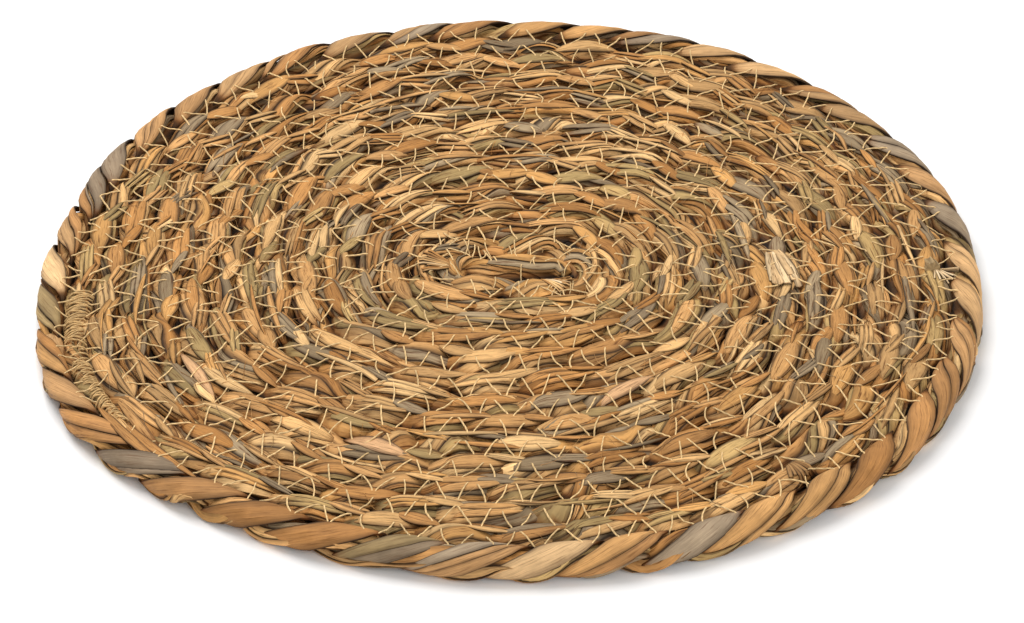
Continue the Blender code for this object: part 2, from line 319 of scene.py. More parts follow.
def linear(r, g, b):
    c = np.array([r, g, b]) / 255
    return np.where(c <= 0.04045, c / 12.92, ((c + 0.055) / 1.055) ** 2.4)


TANS = [linear(208, 160, 108), linear(194, 148, 98), linear(218, 174, 122), linear(180, 132, 82),
        linear(206, 156, 98), linear(188, 148, 102), linear(228, 188, 138), linear(172, 122, 70),
        linear(190, 138, 84)]
GREYS = [linear(150, 128, 98), linear(136, 115, 86), linear(166, 143, 110)]
OLIVES = [linear(168, 140, 90), linear(156, 130, 84), linear(190, 156, 100)]
PALE = [linear(232, 200, 154), linear(224, 186, 136), linear(236, 208, 166)]
THREAD = linear(236, 200, 142)
FRAY_BROWNS = [linear(138, 100, 58), linear(164, 124, 78)]
AGED = np.array([1.0, 0.965, 0.83])  # dried grass turns golden
TANS = [colour * AGED for colour in TANS]
RIM_TONE = np.array([0.94, 0.96, 1.08])  # the rim's leaves are a little greyer


def leaf_colour(grey=0.12, olive=0.12):
    pick = random.uniform()
    group = GREYS if pick < grey else OLIVES if pick < grey + olive else TANS
    return group[random.integers(len(group))] * random.uniform(0.84, 1.14)


def leaf_plan(s, leaves, run):
    """Where each leaf of a bundle lies round it and its colour, at every station.

    A leaf narrows to a point where it ends, and another of its own colour takes over there.
    """
    shares = np.zeros((len(s), leaves))
    colours = np.zeros((len(s), leaves, 3))
    for k in range(leaves):
        share = np.exp(0.6 * Wander(0.10)(s))
        start = -random.uniform(0, run[1])
        while start < s[-1]:
            end = start + random.uniform(*run)
            inside = (s >= start) & (s < end)
            fade = 1 + 0.10 * np.sin((s[inside] - start) / (end - start) * 5)
            colours[inside, k] = leaf_colour() * fade[:, None]
            share = share * (1 - 0.93 * np.exp(-((s - end) / 0.008) ** 2))
            start = end
        shares[:, k] = np.maximum(share, 0.04)
    shares /= shares.sum(1, keepdims=True)
    edges = np.concatenate([np.zeros((len(s), 1)), np.cumsum(shares, 1)], 1) * 2 * math.pi
    return edges, colours


# ---------------------------------------------------------------- strands

def swing(phase):
    """A strand's way from side to side: nearly straight across, with a quick turn at the edge."""
    return np.arcsin(SWING_SHARPNESS * np.sin(phase)) / math.asin(SWING_SHARPNESS)


def strand_path(axis, across, up, phase, width, thick, lean, roll):
    """A strand's middle line through the plait, and the two directions of its cross-section."""
    rise = 0.27 * thick / (1.02 + 0.8 * lean)
    x = SWING_SHARE * width * swing(phase)
    z = -rise * np.cos(phase) * (2 * np.sin(phase) + lean)
    centre = np.concatenate([axis(x), (up + z)[:, None]], 1)
    tangent = unit(np.gradient(centre, axis=0))
    side = unit(across - (across * tangent).sum(1, keepdims=True) * tangent)
    top = np.cross(tangent, side)
    top *= np.sign(top[:, 2:3] + 1e-9)
    rolled = roll * np.sin(phase) ** 3
    ca, sa = np.cos(rolled)[:, None], np.sin(rolled)[:, None]
    return centre, ca * side - sa * top, ca * top + sa * side


def leaf_sections(s, leaves, run, twist):
    """The leaves round a bundle: angle, relief, painted shade at the leaf edges and colour of each
    point of a section.
    """
    edges, colours = leaf_plan(s, leaves, run)
    turned = 2 * math.pi * s / twist + 0.5 * Wander(0.12)(s)
    angles, reliefs, creases, tints, around = [], [], [], [], []
    for k in range(leaves):
        proud = 0.07 * Wander(0.05)(s)
        for f, relief in zip(LEAF_COLUMNS, LEAF_RELIEF):
            angles.append(turned + edges[:, k] + (edges[:, k + 1] - edges[:, k]) * f)
            ripple = 0.014 * Wander(0.009, 3)(s)
            reliefs.append(1 + relief + proud * (1 - abs(2 * f - 1)) + ripple)
            # painted shade at a leaf's edges: full where its near edge tucks under the last leaf,
            # less where its far edge lies over the next
            creases.append(np.full(len(s), 1.0 if f < 0.1 else 0.45 if f > 0.9 else 0.0))
            tints.append(colours[:, k])
            around.append((k + f) * LEAF_WIDTH)
    around = np.array(around + [leaves * LEAF_WIDTH])
    return (*(np.stack(values, 1) for values in (angles, reliefs, creases, tints)), around)


def strand_rings(axis, across, up, s, phase, width, thick, leaves, run, lean, fat, roll, twist):
    """One strand of a plait: rings of a bundle of overlapping leaves, with colours, painted shade at
    the leaf edges, and painted shade low down between the strands.

    axis(x) gives the plait's point x metres to its outer side; across is that direction.
    """
    centre, e1, e2 = strand_path(axis, across, up, phase, width, thick, lean, roll)
    on_top = np.cos(phase - math.radians(150))
    wide = fat * width * (0.300 + 0.070 * on_top) * (1 + 0.05 * Wander(0.05)(s))
    tall = fat * thick * (0.215 + 0.03 * np.sin(phase)) * (1 + 0.05 * Wander(0.04)(s))
    angles, factor, creases, tints, around = leaf_sections(s, leaves, run, twist)
    ca, sa = squared(angles, 0.84)
    rings = (centre[:, None] + (factor * wide[:, None] * ca)[..., None] * e1[:, None]
             + (factor * tall[:, None] * sa)[..., None] * e2[:, None])
    rings[..., 2] = np.maximum(rings[..., 2], 0.0001)
    # painted shade: darker the nearer a point lies to the plait's middle height, down in the gaps
    # between strands and rows
    level = np.abs(rings[..., 2] - up[:, None]) / (0.5 * thick[:, None])
    painted_shade = 1 - smooth_step(0.06, 0.60, level)
    return rings, tints, creases, painted_shade, around


def coil_line():
    """The plait's middle line from the start to the tail, sampled evenly by length."""
    turn = np.linspace(0.02, TAIL_TURN, 30000)
    inner, outer = row_edges(turn)
    points = plan_point(turn * 360, (inner + outer) / 2)
    length = distances(points)
    stations = int(length[-1] / STATION)
    s = np.linspace(0, length[-1], stations)
    return s, np.interp(s, length, turn)


def make_coil(material):
    s, turn = coil_line()
    angle = turn * 360
    inner, outer = row_edges(turn)
    middle = (inner + outer) / 2
    row_vector = (plan_point(angle, middle + 0.05) - plan_point(angle, middle - 0.05)) / 0.1
    row_size = np.hypot(*row_vector.T)
    across = np.concatenate([unit(row_vector), np.zeros((len(s), 1))], 1)
    width = (outer - inner) * row_size * (1.05 + 0.03 * Wander(0.09)(s))
    tail = smooth_step(TAIL_THINS_FROM, TAIL_THINS_TO, turn)
    thick = COIL_THICKNESS * (1 - 0.18 * tail) * (1 - 0.35 * (1 - smooth_step(0, 0.3, turn)))
    plan = plan_point(angle, middle)
    up = LIFT + COIL_THICKNESS / 2 + 0.0004 * drift_z(plan) + 0.0002 * Wander(0.03)(s)
    pieces = []
    for number, letter in enumerate("abc"):
        phase = coil_beat + 2 * math.pi * number / 3 + 0.15 * Wander(0.07)(s)
        axis = lambda x: plan_point(angle, middle + x / row_size)
        rings, tint, crease, painted_shade, around = strand_rings(
            axis, across, up, s, phase, width, thick, leaves=7, run=(0.05, 0.16),
            lean=COIL_LEAN, fat=1.20, roll=0.65, twist=0.45)
        mesh = Builder()
        mesh.tube(rings, tint, s, around, crease, painted_shade)
        pieces.append(mesh.build("coil_plait_" + letter, material, "coil_straw",
                                 *cad_nodes("coil_strand_" + letter)))
    return pieces


def make_rim(material):
    turn = np.linspace(0, 1, 6000)
    angle = RIM_JOINT_ANGLE + 360 * turn
    points = rim_point(angle, 0.0)
    length = distances(points)
    s = np.linspace(0, length[-1], int(length[-1] / STATION))
    angle = np.interp(s, length, angle)
    width = (rim_outer(angle) - rim_inner(angle)) * 0.97
    across = np.stack([np.cos(np.radians(angle)), np.sin(np.radians(angle)), 0 * angle], 1)
    thick = RIM_THICKNESS * np.ones(len(s))
    repeats = round(length[-1] / PLAIT_REPEAT)
    beat = 2 * math.pi * repeats * s / s[-1] + 0.35 * Wander(0.2)(s)
    up = RIM_THICKNESS / 2 + RIM_LIFT + 0.0002 * Wander(0.05)(s)
    pieces = []
    for number, letter in enumerate("abc"):
        phase = beat + 2 * math.pi * number / 3 + 0.12 * Wander(0.08)(s)
        axis = lambda x: rim_point(angle, x / (rim_outer(angle) - rim_inner(angle)))
        rings, tint, crease, painted_shade, around = strand_rings(
            axis, across, up, s, phase, width, thick, leaves=5, run=(0.07, 0.20),
            lean=RIM_LEAN, fat=1.00, roll=1.0, twist=0.6)
        # painted shade only while a strand lies towards the rim's inner side, none on its outer face
        inward = 1 - smooth_step(-0.2, 0.5, np.sin(phase))
        mesh = Builder()
        mesh.tube(rings, tint, s, around, crease, painted_shade * inward[:, None])
        pieces.append(mesh.build("rim_plait_" + letter, material, "rim_straw",
                                 *cad_nodes("rim_strand_" + letter)))
    return pieces


# ---------------------------------------------------------------- the sewing thread

class Surface:
    """Heights of the pieces' top and underside at a plan point."""

    def __init__(self):
        self.trees = []

    def add(self, *pieces):
        points, faces, base = [], [], 0
        for piece in pieces:
            mesh = piece.data
            co = np.zeros(len(mesh.vertices) * 3, np.float32)
            mesh.vertices.foreach_get("co", co)
            points += [tuple(p) for p in co.reshape(-1, 3).tolist()]
            faces += [tuple(v + base for v in f.vertices) for f in mesh.polygons]
            base += len(mesh.vertices)
        self.trees.append(BVHTree.FromPolygons(points, faces))

    def height(self, x, y, sign=1):
        start = Vector((x, y, 0.05 * sign))
        hits = [tree.ray_cast(start, Vector((0, 0, -sign)))[0] for tree in self.trees]
        return sign * max((sign * hit.z for hit in hits if hit), default=sign * 0.005)


def taut(heights):
    """The upper hull of evenly spaced heights: a tight thread over bumps."""
    keep = [0]
    for i in range(1, len(heights)):
        while len(keep) > 1:
            a, b = keep[-2], keep[-1]
            if (heights[b] - heights[a]) * (i - a) <= (heights[i] - heights[a]) * (b - a):
                keep.pop()
            else:
                break
        keep.append(i)
    return np.interp(np.arange(len(heights)), keep, heights[keep])


def lay_leg(mesh, surface, start, end, sign=1, radius=THREAD_RADIUS, bite=0.0028):
    """One leg of thread pulled tight over the plaits, going down into them at both ends."""
    steps = 9
    share = np.linspace(0, 1, steps)[:, None]
    aside = np.array([start[1] - end[1], end[0] - start[0]])
    bow = random.normal(0, 0.055) * np.sin(math.pi * share)
    plan = start + (end - start) * share + aside * bow
    floor = np.array([sign * surface.height(x, y, sign) for x, y in plan])
    tight = taut(floor)
    laid = 0.9 * tight + 0.1 * floor + radius * 0.5
    laid[0] -= 0.0006
    laid[-1] -= 0.0006
    inward = unit(end - start) * 0.0004
    head = np.array([[*(start + inward), laid[0] - bite]])
    foot = np.array([[*(end - inward), laid[-1] - bite]])
    path = np.concatenate([head, np.column_stack([plan, laid]), foot])
    path[:, 2] *= sign
    if sign < 0:
        path[:, 2] = np.maximum(path[:, 2], radius)
    along = np.linspace(0, 0.012, len(path))
    rings = round_tube(path, radius * random.uniform(0.88, 1.12), 5)
    shade = THREAD * random.uniform(0.82, 1.08)
    mesh.tube(rings, shade, along, np.arange(6) / 5 * 0.0024)


def stitch_seam(mesh, surface, first, last, row_of, sign=1, reach=0.39, shift=0.0):
    """Separate slanting legs, alternately one way and the other, along a seam."""
    angle, side = first + shift, 1
    while angle < last:
        row = float(row_of(angle))
        here = plan_spot(angle, row)
        there = plan_spot(angle + 0.4, float(row_of(angle + 0.4)))
        step = there - here
        per_metre = 0.4 / max(np.hypot(*step), 1e-6)
        slant = side * 0.0024 * random.uniform(0.5, 1.5)
        far, near = random.uniform(0.86, 1.12, 2) * reach
        outer = plan_spot(angle + slant * per_metre, row + far)
        inner = plan_spot(angle - slant * per_metre, row - near)
        lay_leg(mesh, surface, outer, inner, sign)
        side = -side
        angle += STITCH_PITCH * random.uniform(0.8, 1.2) * per_metre


def tangle_centre(mesh, surface):
    """The many short crossing legs that hold the first turns together."""
    for _ in range(CENTRE_LEGS):
        middle = np.array([random.uniform(-0.034, 0.036), random.uniform(-0.017, 0.016)])
        heading = math.radians(90) + random.normal(0, 0.55)
        half = random.uniform(0.0028, 0.0052)
        way = half * direction(heading)
        lay_leg(mesh, surface, middle + way, middle - way, radius=THREAD_RADIUS * 0.85)


def make_stitches(material, surface):
    mesh = Builder()
    tangle_centre(mesh, surface)
    last = (TAIL_TURN - 1) * 360 - 8
    for sign, shift in ((1, 0.0), (-1, 2.0)):
        stitch_seam(mesh, surface, 100, last, lambda a: a / 360 + 0.5, sign, shift=shift)
        stitch_seam(mesh, surface, TAIL_ANGLE + 2, TAIL_ANGLE + 360, rows_at, sign, shift=shift)
    nodes = [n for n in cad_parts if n.endswith("_thread") or n.startswith("seam_thread")]
    return mesh.build("seam_stitches", material, "sewing_thread", *nodes)


def make_whipping(material):
    """The thread bound closely round the coil's tail, with a bare stretch part of the way."""
    mesh = Builder()
    points = 14
    # wraps wound so far, and the angle they reach past the start of the last turn
    wraps, angles = (0, 23, 26, 56), (186.0, 196.5, 201.0, 214.5)
    count = np.arange(wraps[-1] * points) / points
    angle = int(ROWS_TO_RIM) * 360 + np.interp(count, wraps, angles)
    inner, outer = row_edges(angle / 360)
    a = 2 * math.pi * count
    steps = np.arange(wraps[-1] + 1)
    tilt = np.interp(count, steps, random.uniform(-0.9, 0.9, len(steps)))
    swell = np.interp(count, steps, random.uniform(0.93, 1.03, len(steps)))
    half = (outer - inner) / 2 * 1.02 * swell
    plan = plan_point(angle + tilt * np.cos(a), (inner + outer) / 2 + half * np.cos(a))
    lift = np.sign(np.sin(a)) * np.abs(np.sin(a)) ** 0.7 * swell
    z = np.maximum(LIFT + COIL_THICKNESS / 2 * (1 + 1.10 * lift), THREAD_RADIUS)
    path = np.column_stack([plan, z])
    shade = np.interp(count, steps, random.uniform(0.70, 1.02, len(steps)))
    tint = linear(222, 182, 122) * shade[:, None, None]
    mesh.tube(round_tube(path, THREAD_RADIUS * 1.15, 6), np.broadcast_to(tint, (len(path), 6, 3)),
              0.022 * count, np.arange(7) / 6 * 0.0024)
    return mesh.build("tail_binding", material, "sewing_thread", "tail_whipping")


def make_joint_wrap(material):
    """The leaf folded over the rim where its ends meet."""
    mesh = Builder()
    stations, sides = 14, 12
    rings = np.zeros((stations, sides, 3))
    for i in range(stations):
        share = i / (stations - 1)
        angle = RIM_JOINT_ANGLE - 5 + 9 * share
        swell = math.sin(math.pi * min(max(share, 0.04), 0.96)) ** 0.6
        outer, inner = float(rim_outer(angle)), float(rim_inner(angle))
        middle_r, half = (outer + inner) / 2 + 0.0006, (outer - inner) / 2 + 0.0004
        for j in range(sides):
            a = 2 * math.pi * j / sides
            r = middle_r + half * swell * math.cos(a)
            z = RIM_THICKNESS / 2 + 0.0004 + RIM_THICKNESS * 0.53 * swell * math.sin(a)
            theta = math.radians(angle + 0.9 * math.sin(a))
            rings[i, j] = r * math.cos(theta), r * math.sin(theta), max(z, 0.0002)
    mesh.tube(rings, linear(196, 152, 102), np.linspace(0, 0.03, stations),
              np.arange(sides + 1) / sides * 0.03)
    return mesh.build("rim_end_wrap", material, "pale_leaf", "rim_joint_leaf")


# ---------------------------------------------------------------- loose leaves and frayed ends

def painted_shade_at(z):
    """Painted shade by height: 0 on top of the rows, 1 down among them where shade falls."""
    return 1 - smooth_step(0.30, 0.86, (z - LIFT) / (COIL_THICKNESS / 2) - 1)


def lay_leaf(mesh, surface, line, width, colour, blunt=0.0, rise=0.0):
    """A flat leaf on the plaits along a plan line, pointed at its ends, or cut off blunt at one."""
    share = np.linspace(0, 1, len(line))
    along = distances(line)
    tangent = unit(np.gradient(line, axis=0))
    side = np.stack([-tangent[:, 1], tangent[:, 0]], 1)
    taper = np.sin(math.pi * np.clip(share, 0.02, 0.98)) ** 0.85
    taper = np.where(share > 0.5, taper + (1 - taper) * blunt, taper)
    columns = np.linspace(-1, 1, 6 if width > 0.0035 else 4)
    half = (width / 2 * taper)[:, None, None]
    plan = line[:, None] + columns[None, :, None] * half * side[:, None]
    floor = np.array([[surface.height(x, y) for x, y in row] for row in plan])
    tight = np.stack([taut(column) for column in floor.T], 1)
    laid = 0.60 * tight + 0.35 * tight.max(1, keepdims=True) + 0.05 * floor
    laid = np.maximum(laid, floor - 0.0002)
    tuck = 0.0016 * (np.exp(-share / 0.07) + (1 - blunt) * np.exp((share - 1) / 0.07))
    laid = laid - tuck[:, None] + rise * share[:, None] ** 2
    crown = 0.00022 * (1 - columns ** 2)
    top = np.concatenate([plan, (laid + 0.00022 + crown)[..., None]], 2)
    under = np.concatenate([plan, (laid - 0.00030 + crown)[..., None]], 2)[:, ::-1]
    # painted shade over the leaf's underside and along its two edges, and painted shade by height
    # from where it lies
    crease = np.ones(2 * len(columns))
    crease[:len(columns)] = 0.0
    crease[0], crease[len(columns) - 1] = 0.7, 0.9
    around = np.concatenate([columns, columns[::-1], [-1]]) * width / 2 + random.uniform(0, 1)
    rings = np.concatenate([top, under], 1)
    mesh.tube(rings, colour, along, around, crease, painted_shade_at(rings[..., 2]))


def row_line(angle, row, length, slant, steps):
    """A plan line along the rows from an angle and row, drifting across them by slant rows."""
    here = plan_point(np.array([angle, angle + 1]), np.array([row, row + 1 / 360]))
    span = length / np.hypot(*(here[1] - here[0]))
    share = np.linspace(0, 1, steps)
    bend = 0.12 * random.uniform(-1, 1) * np.sin(math.pi * share)
    return plan_point(angle + span * share, row + span * share / 360 + slant * share + bend)


def make_coil_leaves(material, surface):
    """The broad outer leaf of many of the plait's lobes: straight, flat and pointed."""
    mesh = Builder()
    s, turn = coil_line()
    inner, outer = row_edges(turn)
    size = rim_inner(turn * 360) / rows_at(turn * 360)
    swing_size = SWING_SHARE * (outer - inner)
    for first in (88, -82):  # degrees of the plait's cycle where a lobe comes up
        long = 142 if first > 0 else 96
        for number in range(3):
            phase = np.degrees(coil_beat) + 120 * number
            start = (phase - first) // 360
            rises = np.nonzero(np.diff(start) > 0)[0]
            for i in rises:
                j = i + int(long / 360 * PLAIT_REPEAT / STATION)
                if turn[i] < 1.2 or j >= len(s) - 12 or random.uniform() > COIL_LEAF_SHARE:
                    continue
                ends = np.array([i, j])
                sides = swing(np.radians(phase[ends])) * swing_size[ends]
                row = (inner + outer)[ends] / 2 + sides + random.normal(0, 0.03, 2)
                share = np.linspace(0, 1, 12)
                angle = np.interp(i + (j - i) * share, np.arange(len(turn)), turn) * 360
                rows = row[0] + (row[1] - row[0]) * share
                width = random.uniform(0.40, 0.66) * size[i] * (1.0 if first > 0 else 0.8)
                colour, count = leaf_colour(), random.choice([1, 1, 2, 2, 3])
                for k in range(count):
                    aside = (k - (count - 1) / 2) / count * width / size[i]
                    part = plan_point(angle, rows + aside)
                    lay_leaf(mesh, surface, part, width / count * 1.15, colour)
                    colour = leaf_colour() if random.uniform() < 0.3 else colour
                    colour = colour * random.uniform(0.85, 1.12)
    return mesh.build("coil_leaves", material, "coil_straw")


def rim_leaf(mesh, place, start, length, across, colour, proud):
    """A leaf wound round the rim from low on its outside, over the top, to its inner edge.

    across is the part of the lobe's width that this leaf covers, from -1 to 1.
    """
    steps, columns = 15, np.array([0, 0.07, 0.32, 0.68, 0.93, 1])
    share = np.linspace(0, 1, steps)
    arc = math.radians(RIM_LEAF_TO - RIM_LEAF_FROM)
    around = math.radians(RIM_LEAF_FROM) + arc * share
    girth = RIM_THICKNESS * 0.58
    slope = math.atan2(arc * girth, length)
    half = RIM_LEAF_WIDTH / 2 * np.sin(math.pi * np.clip(share, 0.02, 0.98)) ** 0.72
    offset = half[:, None] * (across[0] + (across[1] - across[0]) * columns[None, :])
    s = start + length * share[:, None] - offset * math.sin(slope)
    turn = around[:, None] + offset * math.cos(slope) / girth
    swell = np.sin(math.pi * share[:, None])
    raised = proud * swell ** 0.8 - 0.0008 * (1 - swell)
    crown = 0.0006 * (1 - (2 * columns - 1) ** 2) * swell
    top = place(s, turn, raised + crown)
    under = place(s, turn, raised + crown - 0.0006)[:, ::-1]
    # painted shade along the leaf's edges and over its underside
    crease = np.ones(12)
    crease[:6] = 1.0, 0.45, 0, 0, 0.35, 1.0
    ring = np.concatenate([columns, columns[::-1], [0]]) * (across[1] - across[0]) * 0.006
    # painted shade towards the leaf's ends, where they tuck under the neighbouring leaves
    tucked_shade = 0.9 * (1 - smooth_step(0.10, 0.55, swell))
    mesh.tube(np.concatenate([top, under], 1), colour, share * length,
              ring + random.uniform(0, 1), crease, tucked_shade)


def make_rim_leaves(material):
    """The broad leaves that face the rim's lobes, each tucked under the next."""
    mesh = Builder()
    fine = np.linspace(0, 360, 4000)
    middle = rim_point(fine, 0.0)
    length = distances(middle)

    def place(s, turn, proud):
        angle = np.interp(s % length[-1], length, fine)
        width = rim_outer(angle) - rim_inner(angle)
        ca, sa = squared(turn, 0.8)
        plan = rim_point(angle, (0.47 + proud / width) * ca)
        z = RIM_THICKNESS / 2 + RIM_LIFT + (RIM_THICKNESS / 2 + proud) * sa
        return np.concatenate([plan, np.maximum(z, 0.0002)[..., None]], -1)

    lobes = round(3 * length[-1] / PLAIT_REPEAT)
    pitch = length[-1] / lobes
    for number in range(lobes):
        start = number * pitch + random.normal(0, 0.0012)
        leaves = random.choice([1, 1, 2, 2, 3])
        cuts = np.sort(random.uniform(-0.5, 0.5, leaves - 1))
        edges = [-1, *cuts, 1]
        colour = leaf_colour(olive=0.05)
        reach = pitch * random.uniform(1.70, 1.90)
        for k in range(leaves):
            if k:
                fresh = leaf_colour(olive=0.05)
                colour = fresh if random.uniform() < 0.4 else colour * random.uniform(0.84, 1.1)
            across = edges[k] - (0.08 if k else 0), edges[k + 1]
            rim_leaf(mesh, place, start + random.normal(0, 0.0008), reach, across,
                     colour * RIM_TONE, 0.0006 + 0.0003 * random.uniform() + 0.00025 * k)
    return mesh.build("rim_leaves", material, "rim_straw")


def make_loose_leaves(material, surface):
    """Leaves that have worked loose of the plait or end on top of it."""
    mesh = Builder()
    for _ in range(LOOSE_LEAVES):
        row = 13.0 * math.sqrt(random.uniform(0.004, 0.98))
        angle = random.uniform(0, 360)
        row = min(row, float(rows_at(angle)) - 0.7)
        length = random.uniform(0.016, 0.038) * min(1, 0.35 + row / 4)
        line = row_line(angle, row, length, random.uniform(-0.40, 0.40), 12)
        lay_leaf(mesh, surface, line, random.uniform(0.0010, 0.0032), leaf_colour(),
                 blunt=random.choice([0.0, 0.0, 0.8]))
    return mesh.build("loose_leaves", material, "coil_straw")


def lay_fibre(mesh, surface, start, heading, length, colour, radius=0.00014, rise=0.0):
    """A thin fibre curling over the surface, rising a little at its free end."""
    share = np.linspace(0, 1, 7)
    bend = random.uniform(-0.9, 0.9)
    turn = heading + bend * share
    step = length / 6 * np.stack([np.cos(turn), np.sin(turn)], 1)
    plan = start + np.cumsum(step, 0) - step[0]
    floor = np.array([surface.height(x, y) for x, y in plan])
    z = 0.8 * taut(floor) + 0.2 * floor + radius * 0.8 + rise * share ** 2
    z[0] -= 0.0006
    path = np.column_stack([plan, z])
    mesh.tube(round_tube(path, radius * (1 - 0.6 * share), 4), colour, share * length,
              np.arange(5) / 4 * 0.001)


def fan(mesh, surface, start, heading, spread, count, length, width, colours, rise):
    """A frayed end: slivers of leaf fanning out from one spot, cut off at about one length."""
    aside = np.array([-math.sin(heading), math.cos(heading)])
    for k in range(count):
        share = (k + random.uniform(-0.3, 0.3)) / max(count - 1, 1) - 0.5
        turn = heading + spread * share
        reach = length * random.uniform(0.75, 1.05)
        way = direction(turn)
        line = start + aside * share * width * 1.3 + way * np.linspace(0, reach, 9)[:, None]
        colour = colours[random.integers(len(colours))] * random.uniform(0.9, 1.08)
        lay_leaf(mesh, surface, line, width * random.uniform(0.8, 1.2), colour, 0.9,
                 rise * random.uniform(0.2, 1))


def cover_tail_tip(mesh, surface):
    """Leaves that taper off past the coil's tail and close the gap between its rows and the rim."""
    for aside, start, length, width in TAIL_LEAVES:
        angle = TAIL_ANGLE + start
        row = float(rows_at(angle)) - aside
        line = row_line(angle, row, length, 0.25, 14)
        lay_leaf(mesh, surface, line, width, leaf_colour(), rise=-0.0008)


# Frayed ends: place, heading in degrees, spread in radians, slivers, length, width, colours, rise.
FRAYS = (
    ((0.1060, 0.0130), -80, 0.26, 14, 0.027, 0.0031, PALE, 0.0016),
    ((0.1045, -0.1250), -60, 0.9, 7, 0.013, 0.0016, FRAY_BROWNS, 0.0012),
    ((0.0110, -0.0050), -22, 0.9, 11, 0.015, 0.0013, PALE + TANS, 0.0012),
    ((0.0150, -0.0090), -10, 1.5, 9, 0.012, 0.0007, PALE + TANS, 0.0016),
    ((-0.0230, -0.0010), 172, 1.0, 9, 0.013, 0.0012, PALE + TANS, 0.0010),
    ((0.1715, -0.0020), -60, 1.2, 8, 0.010, 0.0010, PALE, 0.0010),
)
# Pale flat leaves: x, y, heading in degrees, length, width.
FLAT_LEAVES = ((-0.0640, -0.1090, -28, 0.030, 0.0095), (-0.1290, -0.0560, -62, 0.036, 0.0050),
               (0.0560, -0.0730, -140, 0.030, 0.0062))
STUB_LINE = ((0.1690, 0.0070, 0.0062), (0.1693, 0.0030, 0.0082), (0.1697, -0.0010, 0.0097),
             (0.1700, -0.0040, 0.0106))


def add_stub(mesh):
    """The cut end of a strand that stands up next to the rim, ridged along its length."""
    stub = np.array(STUB_LINE)
    sides = 14
    rings = round_tube(stub, 0.0030, sides)
    ridges = 1 + 0.10 * np.cos(np.arange(sides) * math.pi)[None, :, None]
    rings = stub[:, None] + (rings - stub[:, None]) * ridges
    # painted shade on every other side of the section, in the hollow between its ridges
    groove_shade = np.broadcast_to(0.45 * (np.arange(sides) % 2), (len(stub), sides))
    mesh.tube(rings, linear(172, 146, 106), np.linspace(0, 0.01, len(stub)),
              np.arange(sides + 1) / sides * 0.018, groove_shade)


def add_stray_fibres(mesh, surface):
    for _ in range(STRAY_FIBRES):
        row = 13.4 * math.sqrt(random.uniform(0, 1))
        angle = random.uniform(0, 360)
        spot = plan_spot(angle, min(row, float(rows_at(angle))))
        heading = math.radians(angle + 90) + random.normal(0, 0.9)
        lay_fibre(mesh, surface, spot, heading, random.uniform(0.004, 0.013),
                  leaf_colour() * random.uniform(0.8, 1.3), rise=random.uniform(0, 0.0012))


def make_frayed_ends(material, surface):
    """Spliced-in ends that show on top: a pale tuft, frays, a cut stub and stray fibres."""
    mesh = Builder()
    cover_tail_tip(mesh, surface)
    for place, heading, spread, slivers, length, width, colours, rise in FRAYS:
        fan(mesh, surface, np.array(place), math.radians(heading), spread, slivers, length, width,
            colours, rise)
    add_stub(mesh)
    for x, y, turn, length, width in FLAT_LEAVES:
        line = np.array([x, y]) + direction(math.radians(turn)) * np.linspace(0, length, 16)[:, None]
        lay_leaf(mesh, surface, line, width, linear(212, 166, 120))
    add_stray_fibres(mesh, surface)
    return mesh.build("frayed_ends", material, "coil_straw")


# ---------------------------------------------------------------- materials

def node(tree, kind, **values):
    made = tree.nodes.new(kind)
    for key, value in values.items():
        if key in made.inputs:
            made.inputs[key].default_value = value
        else:
            setattr(made, key, value)
    return made


def ranged(tree, value, low, high, to_low, to_high):
    """A value remapped from one range to another, clamped."""
    made = node(tree, "ShaderNodeMapRange")
    for key, number in (("From Min", low), ("From Max", high), ("To Min", to_low),
                        ("To Max", to_high)):
        made.inputs[key].default_value = number
    tree.links.new(value, made.inputs["Value"])
    return made.outputs["Result"]


def darker(tree, colour, value, low, high, most, towards):
    """A colour mixed towards another as a value goes from low to high."""
    mix = node(tree, "ShaderNodeMix", data_type="RGBA")
    mix.inputs[7].default_value = (*towards, 1)
    tree.links.new(ranged(tree, value, low, high, 0.0, most), mix.inputs[0])
    tree.links.new(colour, mix.inputs[6])
    return mix.outputs[2]


def scaled(tree, colour, factor):
    made = node(tree, "ShaderNodeVectorMath", operation="SCALE")
    tree.links.new(colour, made.inputs[0])
    tree.links.new(factor, made.inputs["Scale"])
    return made.outputs[0]


def noise(tree, vector, scale, detail, roughness):
    made = node(tree, "ShaderNodeTexNoise", Scale=scale, Detail=detail, Roughness=roughness)
    tree.links.new(vector, made.inputs["Vector"])
    return made.outputs["Fac"]


def stretched(tree, vector, scale):
    made = node(tree, "ShaderNodeMapping", Scale=scale)
    tree.links.new(vector, made.inputs["Vector"])
    return made.outputs["Vector"]


def attribute(tree, name, output="Fac"):
    return node(tree, "ShaderNodeAttribute", attribute_name=name).outputs[output]


def set_bump(tree, shader, height, strength, distance):
    bump = node(tree, "ShaderNodeBump", Strength=strength, Distance=distance)
    tree.links.new(height, bump.inputs["Height"])
    tree.links.new(bump.outputs["Normal"], shader.inputs["Normal"])


def new_material(name):
    material = bpy.data.materials.new(name)
    material.use_nodes = True
    return material, material.node_tree, material.node_tree.nodes["Principled BSDF"]


